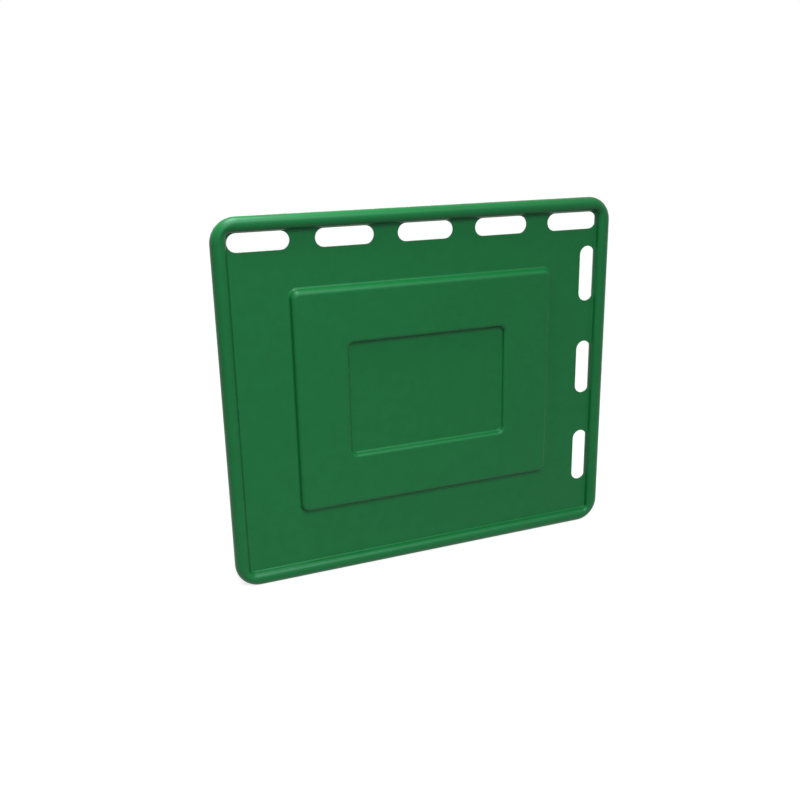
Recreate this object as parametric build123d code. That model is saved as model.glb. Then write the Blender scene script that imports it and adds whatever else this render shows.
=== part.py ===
from build123d import *
from math import cos, radians, tan
import os

# Pig sorting board: a hollow polyethylene moulding of two skins, welded face to face on the
# middle plane. The skins stand apart in the rim and under the centre panel, which are closed
# chambers, and lie on each other in the flat field between them, where the hand slots are cut.
# The board stands on its long lower edge. Sizes are in millimetres.

# Board outline and rim
board_width = 875.0
board_height = 760.0
outer_corner_radius = 51.0
rim_width = 30.0
rim_half_depth = 15.75
parting_land = 1.0
seam_chamfer = 0.6
rim_inner_round = 12.5
rim_foot_fillet = 3.0
rim_draft = 8.0

# Field inside the rim
field_half_depth = 2.0
field_corner_radius = 9.0
wall = 3.2

# Raised centre panel
panel_width = 585.0
panel_height = 469.0
panel_corner_radius = 18.0
panel_rise = 13.5
panel_draft = 15.0
panel_edge_round = 11.5
panel_foot_fillet = 5.5

# Recess in the centre panel, a little below the middle of the board
recess_width = 357.0
recess_height = 242.0
recess_corner_radius = 14.0
recess_depth = 10.0
recess_draft = 15.0
recess_edge_round = 8.0
recess_floor_fillet = 5.0
recess_drop = 2.0

# Hand slots, cut in the field beside the foot of the rim
slot_length = 122.0
slot_width = 37.0
slot_gap = 1.0
slot_edge_round = 0.8
top_slot_count = 5
side_slot_count = 3
side_row_gap = 37.0

# Vent plugs on the rear
vent_offset = 230.0
vent_hole_diameter = 10.0
plug_seat_radius = 7.3
plug_head_thickness = 1.6
plug_head_clearance = 0.3
plug_shank_clearance = 0.1
plug_seat_depth = 2.0
plug_barb_length = 3.0
plug_barb_overhang = 0.8
plug_barb_lead = 1.2

# Places that follow from the sizes above
slot_margin = rim_width + slot_gap
chamber_inner_margin = rim_width - wall
panel_top = field_half_depth + panel_rise
top_slot_row = board_height / 2 - slot_margin - slot_width / 2
side_slot_row = board_width / 2 - slot_margin - slot_width / 2
top_slot_pitch = (board_width - 2 * slot_margin - slot_length) / (top_slot_count - 1)
side_row_margin = slot_margin + slot_width + side_row_gap
side_slot_pitch = (board_height - 2 * side_row_margin - slot_length) / (side_slot_count - 1)

# Distance that a cutting tool runs past what it cuts, how near two levels count as one, and the
# share of a flank that its round and fillet may take together
past = 5.0
near = 0.001
flank_share = 0.98

# The skins are drawn lying down, with the middle plane at z = 0 and their outside upwards
rim_vent_place = (-vent_offset, rim_width / 2 - board_height / 2)
panel_vent_place = (-vent_offset, -recess_drop / 2 - (recess_height + panel_height) / 4)
recess_place = Pos(0, -recess_drop, 0)
upright = Pos(0, 0, board_height / 2) * Plane.XZ.location


def rounded_block(width, height, corner, bottom, top):
    """Block with rounded upright edges between two levels."""
    outline = RectangleRounded(width, height, corner)
    return extrude(Pos(0, 0, bottom) * outline, top - bottom)


def drafted_block(width, height, corner, level, bottom, top, draft):
    """Block whose outline is given at one level and narrows upwards by the draft angle."""
    ends = []
    for end in (bottom, top):
        inset = (end - level) * tan(radians(draft))
        outline = RectangleRounded(width - 2 * inset, height - 2 * inset, corner - inset)
        ends.append(Pos(0, 0, end) * outline)
    return loft(ends, ruled=True)


def fitting_rounds(rise, draft, edge_round, foot_fillet):
    """Edge round and foot fillet of a drafted flank, made smaller if it is too low for both."""
    room = rise / cos(radians(draft)) / tan(radians(90 - draft) / 2)
    share = min(1, flank_share * room / (edge_round + foot_fillet))
    return edge_round * share, foot_fillet * share


rim_round, rim_foot = fitting_rounds(
    rim_half_depth - field_half_depth, rim_draft, rim_inner_round, rim_foot_fillet
)


def face_at(solid, level):
    """The largest flat face at a level."""
    flat = solid.faces().filter_by(Plane.XY)
    return flat.filter_by_position(Axis.Z, level - near, level + near).sort_by(SortBy.AREA)[-1]


def field_pocket():
    """Room inside the rim, down to the face of the field, wider at its mouth."""
    return drafted_block(
        board_width - 2 * rim_width,
        board_height - 2 * rim_width,
        field_corner_radius,
        field_half_depth,
        field_half_depth,
        rim_half_depth + past,
        -rim_draft,
    )


def panel_block():
    """The raised panel, from the middle plane to its top, without its recess."""
    return drafted_block(
        panel_width, panel_height, panel_corner_radius, field_half_depth, 0, panel_top, panel_draft
    )


def recess_pocket():
    """Room of the recess, wider at its mouth in the top of the panel."""
    return recess_place * drafted_block(
        recess_width,
        recess_height,
        recess_corner_radius,
        panel_top,
        panel_top - recess_depth,
        panel_top + past,
        -recess_draft,
    )


def inner_relief():
    """Everything inside the rim's crown: field, panel and recess with their rounded edges."""
    relief = rounded_block(
        board_width + 2 * past, board_height + 2 * past, outer_corner_radius, 0, rim_half_depth
    )
    relief = relief - field_pocket() + panel_block() - recess_pocket()
    panel_round, panel_foot = fitting_rounds(
        panel_rise, panel_draft, panel_edge_round, panel_foot_fillet
    )
    recess_round, recess_foot = fitting_rounds(
        recess_depth, recess_draft, recess_edge_round, recess_floor_fillet
    )
    relief = fillet(face_at(relief, rim_half_depth).inner_wires()[0].edges(), rim_round)
    relief = fillet(face_at(relief, field_half_depth).outer_wire().edges(), rim_foot)
    relief = fillet(face_at(relief, field_half_depth).inner_wires()[0].edges(), panel_foot)
    relief = fillet(face_at(relief, panel_top).outer_wire().edges(), panel_round)
    relief = fillet(face_at(relief, panel_top).inner_wires()[0].edges(), recess_round)
    floor = face_at(relief, panel_top - recess_depth)
    return fillet(floor.outer_wire().edges(), recess_foot)


def rounded_slab(inset):
    """Slab of the board's outline with its outer edge fully rounded, drawn in by an inset."""
    top = rim_half_depth - inset
    slab = rounded_block(
        board_width - 2 * inset, board_height - 2 * inset, outer_corner_radius - inset, 0, top
    )
    return fillet(face_at(slab, top).edges(), top - parting_land)


def outer_slab():
    """The board's rounded slab, with its edge broken where the two skins meet in the weld line."""
    slab = rounded_slab(0)
    return chamfer(face_at(slab, 0).edges(), seam_chamfer)


def rim_chamber():
    """Hollow of the rim in one skin, a wall's thickness inside its surface."""
    island = rounded_block(
        board_width - 2 * chamber_inner_margin,
        board_height - 2 * chamber_inner_margin,
        field_corner_radius + wall,
        -past,
        rim_half_depth + past,
    )
    frame = rounded_block(
        board_width + 2 * past,
        board_height + 2 * past,
        outer_corner_radius,
        0,
        rim_half_depth - wall,
    )
    frame = frame - island
    crown_edge = face_at(frame, rim_half_depth - wall).inner_wires()[0].edges()
    return rounded_slab(wall) & fillet(crown_edge, rim_round - wall)


def panel_chamber():
    """Hollow under the panel in one skin, a wall's thickness inside its flanks and recess."""
    flank = wall / cos(radians(panel_draft))
    hollow = drafted_block(
        panel_width - 2 * flank,
        panel_height - 2 * flank,
        panel_corner_radius - flank,
        field_half_depth,
        0,
        panel_top - wall,
        panel_draft,
    )
    side = wall / cos(radians(recess_draft))
    underside = recess_place * drafted_block(
        recess_width + 2 * side,
        recess_height + 2 * side,
        recess_corner_radius + side,
        panel_top,
        panel_top - recess_depth - wall,
        panel_top,
        -recess_draft,
    )
    return hollow - underside


def slot_places():
    """Place of each hand slot, the top row from left to right and then the side row upwards."""
    places = []
    for index in range(top_slot_count):
        across = (index - (top_slot_count - 1) / 2) * top_slot_pitch
        places.append(Pos(across, top_slot_row, 0))
    for index in range(side_slot_count):
        along = (index - (side_slot_count - 1) / 2) * side_slot_pitch
        places.append(Pos(side_slot_row, along, 0) * Rot(0, 0, 90))
    return places


def slotted(solid):
    """The solid with every hand slot cut through it and the slots' outer edges eased."""
    for place in slot_places():
        slot = place * extrude(SlotOverall(slot_length, slot_width), rim_half_depth, both=True)
        cut = solid - slot
        mouth = new_edges(solid, slot, combined=cut)
        solid = fillet(mouth.filter_by_position(Axis.Z, near, rim_half_depth), slot_edge_round)
    return solid


def vent_boss(place, level):
    """Thicker wall around a vent hole, as deep under the plug's seat as the wall elsewhere."""
    foot = level - plug_seat_depth - wall
    return Pos(*place, foot) * extrude(Circle(plug_seat_radius + wall), level - foot)


def vent_hole(place, level):
    """Stepped hole of a vent plug, with the plug's seat sunk in the surface."""
    seat = level - plug_seat_depth
    mouth = Pos(*place, seat) * extrude(Circle(plug_seat_radius), plug_seat_depth + past)
    bore = Pos(*place, seat - wall - past) * extrude(Circle(vent_hole_diameter / 2), wall + 2 * past)
    return mouth + bore


def vent_plug(place, level):
    """Push-in plug: a flat head in its seat, a shank through the boss and a barb behind it."""
    seat = level - plug_seat_depth
    head_radius = plug_seat_radius - plug_head_clearance
    shank_radius = vent_hole_diameter / 2 - plug_shank_clearance
    barb_radius = vent_hole_diameter / 2 + plug_barb_overhang
    half_section = Polyline(
        (0, seat + plug_head_thickness),
        (head_radius, seat + plug_head_thickness),
        (head_radius, seat),
        (shank_radius, seat),
        (shank_radius, seat - wall),
        (barb_radius, seat - wall),
        (barb_radius - plug_barb_lead, seat - wall - plug_barb_length),
        (0, seat - wall - plug_barb_length),
        close=True,
    )
    return Pos(*place, 0) * revolve(Plane.XZ * make_face(half_section), Axis.Z)


form = slotted(outer_slab() & inner_relief())
chambers = rim_chamber() + panel_chamber()
front = form - chambers
vents = [(rim_vent_place, rim_half_depth), (panel_vent_place, panel_top)]
for place, level in vents:
    chambers = chambers - vent_boss(place, level)
rear = form - chambers
for place, level in vents:
    rear = rear - vent_hole(place, level)

pieces = {
    "front_shell": front,
    "rear_shell": mirror(rear, about=Plane.XY),
    "rim_vent_plug": mirror(vent_plug(rim_vent_place, rim_half_depth), about=Plane.XY),
    "panel_vent_plug": mirror(vent_plug(panel_vent_place, panel_top), about=Plane.XY),
}

os.makedirs("parts", exist_ok=True)
for name, piece in pieces.items():
    export_step(upright * piece, f"parts/{name}.step")
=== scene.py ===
"""Pig sorting board: the looks of a hollow moulded polyethylene board, built around its CAD frame."""

import logging
import math
from dataclasses import dataclass
from enum import Enum
from typing import Any

import bmesh
import bpy
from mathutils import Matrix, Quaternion, Vector


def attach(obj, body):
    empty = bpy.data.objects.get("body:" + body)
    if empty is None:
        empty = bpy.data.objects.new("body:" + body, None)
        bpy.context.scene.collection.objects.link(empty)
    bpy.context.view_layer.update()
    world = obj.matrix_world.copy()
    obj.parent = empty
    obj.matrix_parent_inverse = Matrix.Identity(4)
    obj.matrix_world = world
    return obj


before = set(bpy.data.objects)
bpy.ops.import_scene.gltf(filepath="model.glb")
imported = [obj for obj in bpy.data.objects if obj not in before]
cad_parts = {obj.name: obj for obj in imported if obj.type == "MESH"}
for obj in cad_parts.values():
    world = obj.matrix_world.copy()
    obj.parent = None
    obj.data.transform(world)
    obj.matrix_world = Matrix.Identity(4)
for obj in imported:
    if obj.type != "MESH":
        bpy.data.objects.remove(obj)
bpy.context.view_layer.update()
MM = 0.001
MERGE_DISTANCE = 1e-6
WHITE = (1.0, 1.0, 1.0, 1.0)
LOG = logging.getLogger("sorting_board")
Rgba = tuple[float, float, float, float]
Band = tuple[float, float]


class ToolFace(Enum):
    """How the face of the mould was left, with the depth in mm that it gives the surface's grain."""

    GRAINED = 0.1
    POLISHED = 0.02


def linear(hex_colour: str) -> Rgba:
    """Turns an sRGB hex colour to linear RGBA.

    Args:
        hex_colour: Six hex digits after a hash, such as "#1f6738".

    Returns:
        The linear colour with full alpha.
    """
    channels = [int(hex_colour[i:i + 2], 16) / 255 for i in (1, 3, 5)]
    lit = [c / 12.92 if c <= 0.04045 else ((c + 0.055) / 1.055) ** 2.4 for c in channels]
    return (*lit, 1.0)


def grey(level: float) -> Rgba:
    """Makes a neutral colour.

    Args:
        level: Its linear level.

    Returns:
        The colour with full alpha.
    """
    return (level, level, level, 1.0)


def add_node(tree: bpy.types.NodeTree, kind: str, settings: dict[str, Any] | None = None,
             **inputs: Any) -> bpy.types.Node:
    """Adds a node to a tree, with its settings and its links or values.

    Args:
        tree: The material, world or geometry tree.
        kind: The node's type name.
        settings: Values of the node's own properties.
        **inputs: Sockets by name, spaces as underscores, or by number as i0, i1. A socket is linked
            and anything else is set as its value.

    Returns:
        The new node.
    """
    node = tree.nodes.new(kind)
    for name, value in (settings or {}).items():
        setattr(node, name, value)
    for name, value in inputs.items():
        numbered = name[0] == "i" and name[1:].isdigit()
        socket = node.inputs[int(name[1:]) if numbered else name.replace("_", " ")]
        if isinstance(value, bpy.types.NodeSocket):
            tree.links.new(value, socket)
        else:
            socket.default_value = value
    return node


def add_math(tree: bpy.types.NodeTree, operation: str, *values: Any) -> bpy.types.NodeSocket:
    """Adds a math node to a tree.

    Args:
        tree: The material, world or geometry tree.
        operation: What the node works out.
        *values: Its sockets or numbers, in order.

    Returns:
        The socket of the result.
    """
    inputs = {f"i{index}": value for index, value in enumerate(values)}
    return add_node(tree, "ShaderNodeMath", {"operation": operation}, **inputs).outputs[0]


def new_material(name: str) -> tuple[bpy.types.Material, bpy.types.NodeTree]:
    """Makes an empty node material.

    Args:
        name: The material's name.

    Returns:
        The material and its cleared node tree.
    """
    material = bpy.data.materials.new(name)
    material.use_nodes = True
    material.node_tree.nodes.clear()
    return material, material.node_tree


@dataclass(frozen=True)
class MouldedPolyethylene:
    """Polyethylene coloured through: waxy and matt, a little mottled where it cooled unevenly.

    A grained tool leaves a fine matt grain. The faces that stand proud rub on floors, walls and other
    boards, so they carry short pale scuffs, and the edges are worn smoother and paler. A band is the
    two levels of a noise or a turn between which its effect comes in.
    """

    name: str
    tool: ToolFace
    colour: str
    cooled_colour: str
    worn_colour: str
    roughness: float
    sheen_level: float
    # Painted light: the bluish tint of the sheen stands in for the cool colour of the light in the
    # highlights, not for a colour of the plastic.
    cool_light_sheen_tint: str = "#dbf0ff"
    ior: float = 1.51
    roughness_swing: float = 0.03
    worn_polish: float = 0.2
    grain_mm: float = 1.6
    grain_strength: float = 0.35
    mottle_mm: float = 30.0
    mottle_band: Band = (0.3, 0.7)
    scuff_mm: tuple[float, float] = (30.0, 1.2)
    scuff_slope_deg: float = 12.0
    scuff_band: Band = (0.60, 0.72)
    scuff_share: float = 0.30
    proud_mm: Band = (14.9, 15.7)
    edge_mm: float = 1.6
    edge_band: Band = (0.01, 0.2)
    edge_share: float = 0.25

    def ramp(self, tree: bpy.types.NodeTree, value: bpy.types.NodeSocket, band: Band,
             limit: float = 1.0) -> bpy.types.NodeSocket:
        """Maps a value between two levels to a share from nothing up to a limit.

        Args:
            tree: The material's tree.
            value: The value to map.
            band: Level at and under which the share is nothing, and level from which it is the limit.
            limit: The highest share.

        Returns:
            The share's socket.
        """
        low, high = band
        return add_node(tree, "ShaderNodeMapRange", {"interpolation_type": "SMOOTHSTEP"}, Value=value,
                        From_Min=low, From_Max=high, To_Min=0.0, To_Max=limit).outputs["Result"]

    def proud_faces(self, tree: bpy.types.NodeTree,
                    place: bpy.types.NodeSocket) -> bpy.types.NodeSocket:
        """Finds the faces that rub, from their distance to the middle plane.

        Args:
            tree: The material's tree.
            place: The place on the board.

        Returns:
            The socket of the share of rubbing there.
        """
        depth = add_node(tree, "ShaderNodeSeparateXYZ", Vector=place).outputs["Y"]
        reach = add_math(tree, "ABSOLUTE", depth)
        return self.ramp(tree, reach, tuple(level * MM for level in self.proud_mm))

    def scuffs(self, tree: bpy.types.NodeTree, place: bpy.types.NodeSocket) -> bpy.types.NodeSocket:
        """Adds short thin streaks that run along the board and slightly downwards.

        Args:
            tree: The material's tree.
            place: The place on the board.

        Returns:
            The socket of the streaks' share.
        """
        along, across = (1 / (size * MM) for size in self.scuff_mm)
        slope = (0, math.radians(self.scuff_slope_deg), 0)
        streak = add_node(tree, "ShaderNodeMapping", Vector=place, Rotation=slope,
                          Scale=(along, across, across)).outputs["Vector"]
        noise = add_node(tree, "ShaderNodeTexNoise", Vector=streak, Scale=1.0, Detail=2.0,
                         Roughness=0.5)
        return self.ramp(tree, noise.outputs["Fac"], self.scuff_band, self.scuff_share)

    def edges(self, tree: bpy.types.NodeTree) -> bpy.types.NodeSocket:
        """Finds the sharp edges, where a rounded normal turns away from the true one.

        Args:
            tree: The material's tree.

        Returns:
            The socket of the share of wear.
        """
        rounded = add_node(tree, "ShaderNodeBevel", {"samples": 4}, Radius=self.edge_mm * MM)
        true = add_node(tree, "ShaderNodeNewGeometry")
        match = add_node(tree, "ShaderNodeVectorMath", {"operation": "DOT_PRODUCT"},
                         i0=rounded.outputs["Normal"], i1=true.outputs["Normal"]).outputs["Value"]
        return self.ramp(tree, add_math(tree, "SUBTRACT", 1.0, match), self.edge_band, self.edge_share)

    def material(self) -> bpy.types.Material:
        """Builds the node material.

        Returns:
            The finished material.
        """
        material, tree = new_material(self.name)
        place = add_node(tree, "ShaderNodeTexCoord").outputs["Object"]
        mottle = add_node(tree, "ShaderNodeTexNoise", Vector=place, Scale=1 / (self.mottle_mm * MM),
                          Detail=4.0, Roughness=0.6).outputs["Fac"]
        grain = add_node(tree, "ShaderNodeTexNoise", Vector=place, Scale=1 / (self.grain_mm * MM),
                         Detail=3.0, Roughness=0.6).outputs["Fac"]
        rubbed = add_math(tree, "MULTIPLY", self.proud_faces(tree, place), self.scuffs(tree, place))
        worn = add_math(tree, "MAXIMUM", rubbed, self.edges(tree))
        cooled = self.ramp(tree, mottle, self.mottle_band)
        moulded = add_node(tree, "ShaderNodeMix", {"data_type": "RGBA"}, i0=cooled,
                           i6=linear(self.colour), i7=linear(self.cooled_colour))
        colour = add_node(tree, "ShaderNodeMix", {"data_type": "RGBA"}, i0=worn,
                          i6=moulded.outputs[2], i7=linear(self.worn_colour))
        low, high = self.mottle_band
        rough = add_node(tree, "ShaderNodeMapRange", Value=mottle, From_Min=low, From_Max=high,
                         To_Min=self.roughness - self.roughness_swing,
                         To_Max=self.roughness + self.roughness_swing)
        polished = add_math(tree, "MULTIPLY_ADD", worn, -self.worn_polish, rough.outputs["Result"])
        bump = add_node(tree, "ShaderNodeBump", Strength=self.grain_strength,
                        Distance=self.tool.value * MM, Height=grain)
        # The specular tint paints a cool bluish cast onto every highlight, in place of a cool lamp.
        shader = add_node(tree, "ShaderNodeBsdfPrincipled", Base_Color=colour.outputs[2],
                          Roughness=polished, IOR=self.ior, Specular_IOR_Level=self.sheen_level,
                          Specular_Tint=linear(self.cool_light_sheen_tint), Normal=bump.outputs["Normal"])
        add_node(tree, "ShaderNodeOutputMaterial", Surface=shader.outputs["BSDF"])
        return material


SKIN_FINISH = MouldedPolyethylene(
    name="moulded_polyethylene_green",
    tool=ToolFace.GRAINED,
    colour="#0e6831",
    cooled_colour="#0d642e",
    worn_colour="#2b7a4b",
    roughness=0.40,
    sheen_level=0.28,
)
PLUG_FINISH = MouldedPolyethylene(
    name="plug_polyethylene_green",
    tool=ToolFace.POLISHED,
    colour="#0c5f30",
    cooled_colour="#0b5b2d",
    worn_colour="#2b7a4b",
    roughness=0.36,
    sheen_level=0.35,
    grain_mm=0.8,
    mottle_mm=12.0,
)


def dress_node(name: str, material: bpy.types.Material) -> None:
    """Gives a node of the frame its finish.

    Args:
        name: The node's name.
        material: The finish.
    """
    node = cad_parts[name]
    node.data.materials.clear()
    node.data.materials.append(material)
    LOG.info("dressed %s", name)


@dataclass
class Skins:
    """The two welded skins of the board."""

    nodes: tuple[str, ...] = ("front_shell", "rear_shell")

    def dress(self, material: bpy.types.Material) -> None:
        """Gives both skins the moulded finish.

        Args:
            material: The finish.
        """
        for name in self.nodes:
            dress_node(name, material)


@dataclass
class VentPlugs:
    """The push-in plugs that close the air holes of the two chambers, on the rear."""

    nodes: tuple[str, ...] = ("rim_vent_plug", "panel_vent_plug")

    def dress(self, material: bpy.types.Material) -> None:
        """Gives both plugs their smoother finish.

        Args:
            material: The finish.
        """
        for name in self.nodes:
            dress_node(name, material)


@dataclass
class WeldBead:
    """Fine bead of melt where the skins meet, in the groove round the board and in every hand slot.

    It lies on the middle plane. Round the board its middle is a little inside the outline, so that it
    fills the groove and stays inside the board's box. In the slots it stands a little out of the wall.
    The end of a slot is rounded to just under half its width, which leaves a valid curve.
    """

    board_mm: tuple[float, float] = (875.0, 760.0)
    corner_mm: float = 51.0
    slot_margin_mm: float = 31.0
    slot_mm: tuple[float, float] = (122.0, 37.0)
    top_slots: int = 5
    side_slots: int = 3
    row_gap_mm: float = 37.0
    bead_mm: float = 0.5
    thinnest: float = 0.7
    groove_inset_mm: float = 0.55
    slot_sink_mm: float = 0.15
    ripple_mm: float = 9.0
    ripple_band: Band = (0.3, 0.7)
    end_round_share: float = 0.4999
    corner_points: int = 16
    section_points: int = 8
    step_mm: float = 3.0

    def sizes(self) -> dict[str, float | int]:
        """Works out the named inputs of the node tree.

        Returns:
            Each input's value by name, lengths in metres.
        """
        wide, tall = self.board_mm
        long, narrow = self.slot_mm
        side_margin = self.slot_margin_mm + narrow + self.row_gap_mm
        lengths = {
            "Outline Width": wide - 2 * self.groove_inset_mm,
            "Outline Height": tall - 2 * self.groove_inset_mm,
            "Outline Corner": self.corner_mm - self.groove_inset_mm,
            "Slot Length": long + 2 * self.slot_sink_mm,
            "Slot Width": narrow + 2 * self.slot_sink_mm,
            "Top Start": -(wide / 2 - self.slot_margin_mm - long / 2),
            "Top Pitch": (wide - 2 * self.slot_margin_mm - long) / (self.top_slots - 1),
            "Top Row": tall / 2 - self.slot_margin_mm - narrow / 2,
            "Side Start": -(tall / 2 - side_margin - long / 2),
            "Side Pitch": (tall - 2 * side_margin - long) / (self.side_slots - 1),
            "Side Row": wide / 2 - self.slot_margin_mm - narrow / 2,
            "Middle Height": tall / 2,
            "Bead Radius": self.bead_mm,
            "Ripple Length": self.ripple_mm,
        }
        counts = {"Top Count": self.top_slots, "Side Count": self.side_slots}
        metres = {name: size * MM for name, size in lengths.items()}
        return {**metres, **counts, "Thinnest": self.thinnest}

    def rounded_loop(self, tree: bpy.types.NodeTree, width: bpy.types.NodeSocket,
                     height: bpy.types.NodeSocket,
                     corner: bpy.types.NodeSocket) -> bpy.types.NodeSocket:
        """Adds a flat closed curve with rounded corners.

        Args:
            tree: The geometry tree.
            width: Its length along X.
            height: Its length along Y.
            corner: Radius of its corners.

        Returns:
            The curve.
        """
        loop = add_node(tree, "GeometryNodeCurvePrimitiveQuadrilateral", i0=width, i1=height)
        rounded = add_node(tree, "GeometryNodeFilletCurve", {"mode": "POLY"},
                           Curve=loop.outputs["Curve"], Count=self.corner_points, Radius=corner,
                           Limit_Radius=True)
        return rounded.outputs["Curve"]

    def row(self, tree: bpy.types.NodeTree, loop: bpy.types.NodeSocket, count: bpy.types.NodeSocket,
            start: bpy.types.NodeSocket, pitch: bpy.types.NodeSocket,
            turn: float = 0.0) -> bpy.types.NodeSocket:
        """Repeats a loop along a row.

        Args:
            tree: The geometry tree.
            loop: The curve to repeat.
            count: How many there are.
            start: Place of the first.
            pitch: Step from one to the next.
            turn: Turn of each loop about Z, in radians.

        Returns:
            The placed loops.
        """
        line = add_node(tree, "GeometryNodeMeshLine", {"mode": "OFFSET"}, Count=count,
                        Start_Location=start, Offset=pitch)
        placed = add_node(tree, "GeometryNodeInstanceOnPoints", Points=line.outputs["Mesh"],
                          Instance=loop, Rotation=(0, 0, turn))
        return placed.outputs["Instances"]

    def loops(self, tree: bpy.types.NodeTree, given: Any) -> bpy.types.NodeSocket:
        """Adds the curves that the bead follows: the board's outline and both rows of slots.

        Args:
            tree: The geometry tree.
            given: The tree's named inputs.

        Returns:
            The joined curves.
        """
        outline = self.rounded_loop(tree, given["Outline Width"], given["Outline Height"],
                                    given["Outline Corner"])
        end_round = add_math(tree, "MULTIPLY", given["Slot Width"], self.end_round_share)
        slot = self.rounded_loop(tree, given["Slot Length"], given["Slot Width"], end_round)
        top_start = add_node(tree, "ShaderNodeCombineXYZ", X=given["Top Start"], Y=given["Top Row"])
        top_step = add_node(tree, "ShaderNodeCombineXYZ", X=given["Top Pitch"])
        side_start = add_node(tree, "ShaderNodeCombineXYZ", X=given["Side Row"], Y=given["Side Start"])
        side_step = add_node(tree, "ShaderNodeCombineXYZ", Y=given["Side Pitch"])
        top_row = self.row(tree, slot, given["Top Count"], top_start.outputs[0], top_step.outputs[0])
        side_row = self.row(tree, slot, given["Side Count"], side_start.outputs[0],
                            side_step.outputs[0], math.pi / 2)
        joined = add_node(tree, "GeometryNodeJoinGeometry")
        for piece in (outline, top_row, side_row):
            tree.links.new(piece, joined.inputs[0])
        return add_node(tree, "GeometryNodeRealizeInstances", Geometry=joined.outputs[0]).outputs[0]

    def node_tree(self, material: bpy.types.Material) -> tuple[bpy.types.NodeTree, dict[str, str]]:
        """Builds the tree that lays the bead.

        Args:
            material: Finish of the bead.

        Returns:
            The tree, and the identifier of each named input.
        """
        tree = bpy.data.node_groups.new("weld_bead", "GeometryNodeTree")
        tree.interface.new_socket("Geometry", in_out="OUTPUT", socket_type="NodeSocketGeometry")
        names: dict[str, str] = {}
        for name, value in self.sizes().items():
            kind = "NodeSocketInt" if isinstance(value, int) else "NodeSocketFloat"
            socket = tree.interface.new_socket(name, in_out="INPUT", socket_type=kind)
            names[name] = socket.identifier
        given = add_node(tree, "NodeGroupInput").outputs
        even = add_node(tree, "GeometryNodeResampleCurve", {"mode": "LENGTH"},
                        Curve=self.loops(tree, given), Length=self.step_mm * MM)
        scale = add_math(tree, "DIVIDE", 1.0, given["Ripple Length"])
        ripple = add_node(tree, "ShaderNodeTexNoise", Scale=scale, Detail=1.0)
        low, high = self.ripple_band
        size = add_node(tree, "ShaderNodeMapRange", Value=ripple.outputs["Fac"], From_Min=low,
                        From_Max=high, To_Min=given["Thinnest"], To_Max=1.0)
        waxing = add_node(tree, "GeometryNodeSetCurveRadius", Curve=even.outputs[0],
                          Radius=size.outputs["Result"])
        section = add_node(tree, "GeometryNodeCurvePrimitiveCircle", Resolution=self.section_points,
                           Radius=given["Bead Radius"])
        bead = add_node(tree, "GeometryNodeCurveToMesh", Curve=waxing.outputs[0],
                        Profile_Curve=section.outputs["Curve"])
        middle = add_node(tree, "ShaderNodeCombineXYZ", Z=given["Middle Height"])
        upright = add_node(tree, "GeometryNodeTransform", Geometry=bead.outputs["Mesh"],
                           Translation=middle.outputs[0], Rotation=(math.pi / 2, 0, 0))
        smooth = add_node(tree, "GeometryNodeSetShadeSmooth", Geometry=upright.outputs[0])
        whole = add_node(tree, "GeometryNodeRealizeInstances", Geometry=smooth.outputs[0])
        dressed = add_node(tree, "GeometryNodeSetMaterial", Geometry=whole.outputs[0],
                           Material=material)
        add_node(tree, "NodeGroupOutput", Geometry=dressed.outputs[0])
        return tree, names

    def build(self, material: bpy.types.Material) -> None:
        """Lays the bead and turns it to a plain mesh that rides on the board.

        Args:
            material: Finish of the bead.
        """
        tree, names = self.node_tree(material)
        carrier = bpy.data.objects.new("bead_carrier", bpy.data.meshes.new("bead_carrier"))
        bpy.context.scene.collection.objects.link(carrier)
        modifier = carrier.modifiers.new("bead", "NODES")
        modifier.node_group = tree
        for name, value in self.sizes().items():
            modifier[names[name]] = value
        seen = carrier.evaluated_get(bpy.context.evaluated_depsgraph_get())
        mesh = bpy.data.meshes.new_from_object(seen)
        bpy.data.objects.remove(carrier)
        shape = bmesh.new()
        shape.from_mesh(mesh)
        bmesh.ops.remove_doubles(shape, verts=shape.verts, dist=MERGE_DISTANCE)
        bmesh.ops.recalc_face_normals(shape, faces=shape.faces)
        shape.to_mesh(mesh)
        shape.free()
        bead = bpy.data.objects.new("weld_bead", mesh)
        bpy.context.scene.collection.objects.link(bead)
        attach(bead, "root")
        LOG.info("laid weld_bead, %d faces", len(mesh.polygons))


@dataclass
class PhotoCamera:
    """Camera at the place that the photograph was taken from."""

    place: tuple[float, float, float] = (-0.7375, -1.6777, 0.9122)
    aim: tuple[float, float, float] = (-0.0631, 0.0, 0.3600)
    roll_deg: float = -1.144
    lens_mm: float = 40.208
    sensor_mm: float = 36.0

    def build(self) -> None:
        """Adds the camera and makes it the scene's."""
        data = bpy.data.cameras.new("photo_camera")
        data.lens = self.lens_mm
        data.sensor_width = self.sensor_mm
        camera = bpy.data.objects.new("photo_camera", data)
        camera.location = self.place
        look = (Vector(self.aim) - Vector(self.place)).normalized()
        turn = look.to_track_quat("-Z", "Y") @ Quaternion((0, 0, 1), math.radians(self.roll_deg))
        camera.rotation_euler = turn.to_euler()
        bpy.context.scene.collection.objects.link(camera)
        bpy.context.scene.camera = camera


def hang_lamp(name: str, data: bpy.types.Light, place: Vector, backwards: Vector) -> None:
    """Adds a lamp to the scene.

    Args:
        name: The lamp's name.
        data: Its light.
        place: Where it hangs.
        backwards: The direction from what it lights to the lamp.
    """
    lamp = bpy.data.objects.new(name, data)
    lamp.location = place
    lamp.rotation_euler = backwards.to_track_quat("Z", "Y").to_euler()
    bpy.context.scene.collection.objects.link(lamp)


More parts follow.
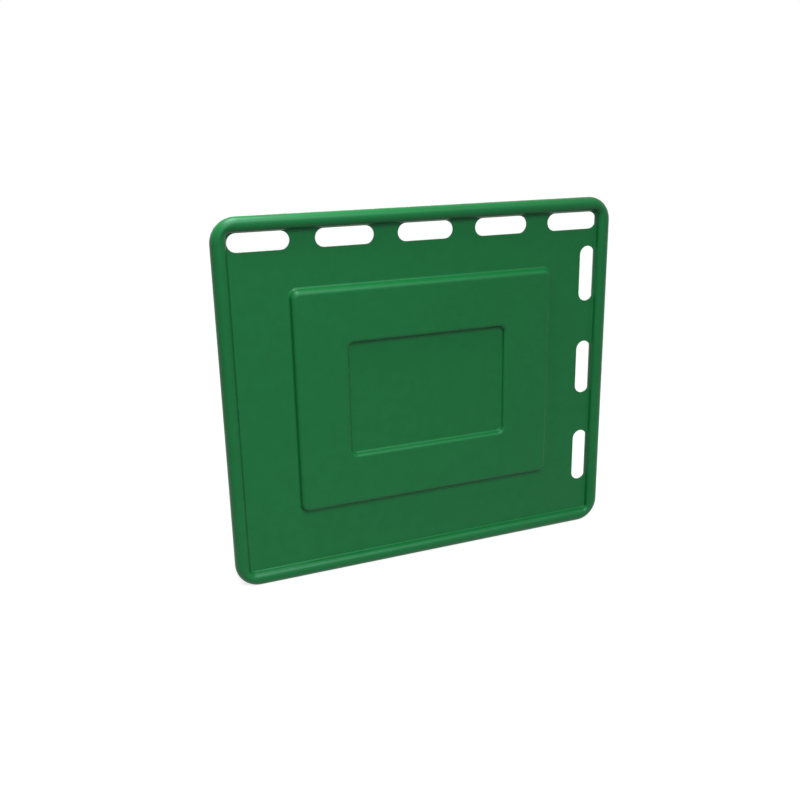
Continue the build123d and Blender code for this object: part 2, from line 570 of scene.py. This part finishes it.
@dataclass(frozen=True)
class SoftSun:
    """A distant soft lamp, which lights the board evenly from one side.

    Its level is the share of full white that it gives to a white surface that faces it.
    """

    name: str
    towards: tuple[float, float, float]
    level: float
    spread_deg: float
    shadows: bool = True
    stand_off: float = 3.0

    def build(self) -> None:
        """Adds the lamp to the scene."""
        data = bpy.data.lights.new(self.name, "SUN")
        data.use_shadow = self.shadows
        data.energy = self.level * math.pi
        data.angle = math.radians(self.spread_deg)
        hang_lamp(self.name, data, Vector(self.towards) * self.stand_off, Vector(self.towards))


@dataclass(frozen=True)
class SoftSpot:
    """A broad-faced lamp whose light fades out towards the edge of its cone."""

    name: str
    place: tuple[float, float, float]
    aim: tuple[float, float, float]
    watts: float
    cone_deg: float
    radius: float

    def build(self) -> None:
        """Adds the lamp to the scene."""
        data = bpy.data.lights.new(self.name, "SPOT")
        data.energy = self.watts
        data.spot_size = math.radians(self.cone_deg)
        data.spot_blend = 1.0
        data.shadow_soft_size = self.radius
        hang_lamp(self.name, data, Vector(self.place), Vector(self.place) - Vector(self.aim))


@dataclass(frozen=True)
class SoftBox:
    """A square soft box."""

    name: str
    place: tuple[float, float, float]
    aim: tuple[float, float, float]
    watts: float
    size: float

    def build(self) -> None:
        """Adds the lamp to the scene."""
        data = bpy.data.lights.new(self.name, "AREA")
        data.shape = "SQUARE"
        data.size = self.size
        data.energy = self.watts
        hang_lamp(self.name, data, Vector(self.place), Vector(self.place) - Vector(self.aim))


@dataclass
class Studio:
    """Pale floor, white surroundings and soft lamps.

    The key and the overhead box give the photo's light. The side lamp evens the lower left. The rear
    fill only reaches the back, and it casts no shadow on the floor in front.
    """

    floor_size: float = 60.0
    floor_grey: float = 0.12
    shadow_share: float = 0.25
    dim_level: float = 0.03
    white_level: float = 1.0
    key: SoftSun = SoftSun("key_softbox", (0.0, -0.72, 0.70), 0.78, 30)
    rear: SoftSun = SoftSun("rear_fill", (0.20, 0.97, 0.08), 0.45, 30, shadows=False)
    side: SoftSpot = SoftSpot("side_fill", (-0.45, -2.7, 1.2), (-0.45, 0.0, 0.2), 40.0, 38.0, 0.5)
    overhead: SoftBox = SoftBox("overhead_softbox", (-0.42, -0.10, 1.6), (-0.2, 0.0, 0.5), 15.0, 0.4)

    def seen_rays(self, tree: bpy.types.NodeTree) -> bpy.types.NodeSocket:
        """Tells the rays that see the white background from those that carry light.

        Args:
            tree: The material or world tree that the nodes are added to.

        Returns:
            A socket that is 1 for camera, glossy and transmission rays and 0 for the others.
        """
        path = add_node(tree, "ShaderNodeLightPath").outputs
        either = add_math(tree, "MAXIMUM", path["Is Camera Ray"], path["Is Glossy Ray"])
        return add_math(tree, "MAXIMUM", either, path["Is Transmission Ray"])

    def surroundings(self) -> None:
        """Makes the world white where it is seen or mirrored, and dim where it lights the board."""
        world = bpy.data.worlds.new("surroundings")
        bpy.context.scene.world = world
        world.use_nodes = True
        tree = world.node_tree
        tree.nodes.clear()
        dim = add_node(tree, "ShaderNodeBackground", Color=WHITE, Strength=self.dim_level)
        white = add_node(tree, "ShaderNodeBackground", Color=WHITE, Strength=self.white_level)
        mix = add_node(tree, "ShaderNodeMixShader", i0=self.seen_rays(tree),
                       i1=dim.outputs["Background"], i2=white.outputs["Background"])
        add_node(tree, "ShaderNodeOutputWorld", Surface=mix.outputs["Shader"])

    def floor_light(self) -> float:
        """Works out the level of the light that falls on the open floor.

        Returns:
            The level, as a share of full white.
        """
        return self.dim_level + sum(
            lamp.level * Vector(lamp.towards).normalized().z for lamp in (self.key, self.rear))

    def floor(self) -> None:
        """Adds the pale floor at the board's lower edge, white but for the board's soft shadow."""
        half = self.floor_size / 2
        corners = [(-half, -half, 0), (half, -half, 0), (half, half, 0), (-half, half, 0)]
        mesh = bpy.data.meshes.new("floor")
        mesh.from_pydata(corners, [], [(0, 1, 2, 3)])
        floor = bpy.data.objects.new("floor", mesh)
        material, tree = new_material("pale_floor")
        lit = add_node(tree, "ShaderNodeBsdfDiffuse", Color=grey(self.floor_grey))
        shaded = add_node(tree, "ShaderNodeBsdfDiffuse",
                          Color=grey(self.shadow_share / self.floor_light()))
        white = add_node(tree, "ShaderNodeEmission", Color=WHITE,
                         Strength=self.white_level - self.shadow_share)
        pale = add_node(tree, "ShaderNodeAddShader", i0=shaded.outputs["BSDF"],
                        i1=white.outputs["Emission"])
        mix = add_node(tree, "ShaderNodeMixShader", i0=self.seen_rays(tree), i1=lit.outputs["BSDF"],
                       i2=pale.outputs["Shader"])
        add_node(tree, "ShaderNodeOutputMaterial", Surface=mix.outputs["Shader"])
        mesh.materials.append(material)
        bpy.context.scene.collection.objects.link(floor)

    def build(self) -> None:
        """Sets up the whole stage."""
        self.surroundings()
        self.floor()
        for lamp in (self.key, self.rear, self.side, self.overhead):
            lamp.build()


def main() -> None:
    """Builds the stage and dresses every piece of the board."""
    logging.basicConfig(level=logging.INFO)
    bpy.context.scene.view_settings.view_transform = "Standard"
    PhotoCamera().build()
    Studio().build()
    skin_material = SKIN_FINISH.material()
    Skins().dress(skin_material)
    VentPlugs().dress(PLUG_FINISH.material())
    WeldBead().build(skin_material)


if __name__ == "__main__":
    main()
